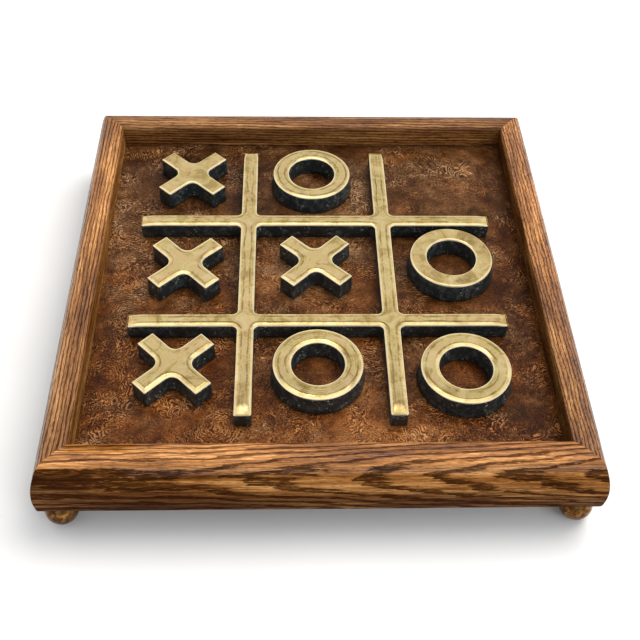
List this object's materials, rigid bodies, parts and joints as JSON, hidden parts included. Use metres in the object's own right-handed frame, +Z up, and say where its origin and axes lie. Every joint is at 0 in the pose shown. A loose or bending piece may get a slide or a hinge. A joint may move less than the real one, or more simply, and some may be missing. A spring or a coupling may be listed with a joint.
{
  "type": "tic tac toe set",
  "caption": "Square oak tray on brass ball feet with a burl veneer field, a raised cast brass grid, and loose cast brass X and O pieces that lift off.",
  "frame": {"origin": "centre of the board, on the surface that the ball feet stand on", "axes": "+Z up, +Y towards the back rail, +X to the right seen from the front"},
  "size_m": [0.3048, 0.3048, 0.0577],
  "materials": {
    "oak": "satin lacquered open-grain oak, medium brown stain",
    "burl": "satin lacquered dark burl veneer",
    "plywood": "bare plywood",
    "cast_brass": "polished tops with soft tool marks, sides painted matt black",
    "ball_brass": "polished, aged",
    "screw_steel": "plain zinc plated"
  },
  "bodies": {
    "board": {"front_rail": "oak", "back_rail": "oak", "left_rail": "oak", "right_rail": "oak", "burl_veneer": "burl", "panel_core": "plywood", "brass_grid": "cast_brass", "grid_screw_front_left": "screw_steel", "grid_screw_front_right": "screw_steel", "grid_screw_back_right": "screw_steel", "grid_screw_back_left": "screw_steel", "ball_foot_front_left": "ball_brass", "ball_foot_front_right": "ball_brass", "ball_foot_back_right": "ball_brass", "ball_foot_back_left": "ball_brass", "foot_stud_front_left": "screw_steel", "foot_stud_front_right": "screw_steel", "foot_stud_back_right": "screw_steel", "foot_stud_back_left": "screw_steel"},
    "x_piece_1": {"x_piece_1": "cast_brass"},
    "x_piece_2": {"x_piece_2": "cast_brass"},
    "x_piece_3": {"x_piece_3": "cast_brass"},
    "x_piece_4": {"x_piece_4": "cast_brass"},
    "o_piece_1": {"o_piece_1": "cast_brass"},
    "o_piece_2": {"o_piece_2": "cast_brass"},
    "o_piece_3": {"o_piece_3": "cast_brass"},
    "o_piece_4": {"o_piece_4": "cast_brass"}
  },
  "joints": [
    {"name": "x_piece_1_lift", "type": "slide", "parent": "board", "child": "x_piece_1", "axis": [0, 0, 1], "range_m": [0, 0.06]},
    {"name": "x_piece_2_lift", "type": "slide", "parent": "board", "child": "x_piece_2", "axis": [0, 0, 1], "range_m": [0, 0.06]},
    {"name": "x_piece_3_lift", "type": "slide", "parent": "board", "child": "x_piece_3", "axis": [0, 0, 1], "range_m": [0, 0.06]},
    {"name": "x_piece_4_lift", "type": "slide", "parent": "board", "child": "x_piece_4", "axis": [0, 0, 1], "range_m": [0, 0.06]},
    {"name": "o_piece_1_lift", "type": "slide", "parent": "board", "child": "o_piece_1", "axis": [0, 0, 1], "range_m": [0, 0.06]},
    {"name": "o_piece_2_lift", "type": "slide", "parent": "board", "child": "o_piece_2", "axis": [0, 0, 1], "range_m": [0, 0.06]},
    {"name": "o_piece_3_lift", "type": "slide", "parent": "board", "child": "o_piece_3", "axis": [0, 0, 1], "range_m": [0, 0.06]},
    {"name": "o_piece_4_lift", "type": "slide", "parent": "board", "child": "o_piece_4", "axis": [0, 0, 1], "range_m": [0, 0.06]}
  ]
}
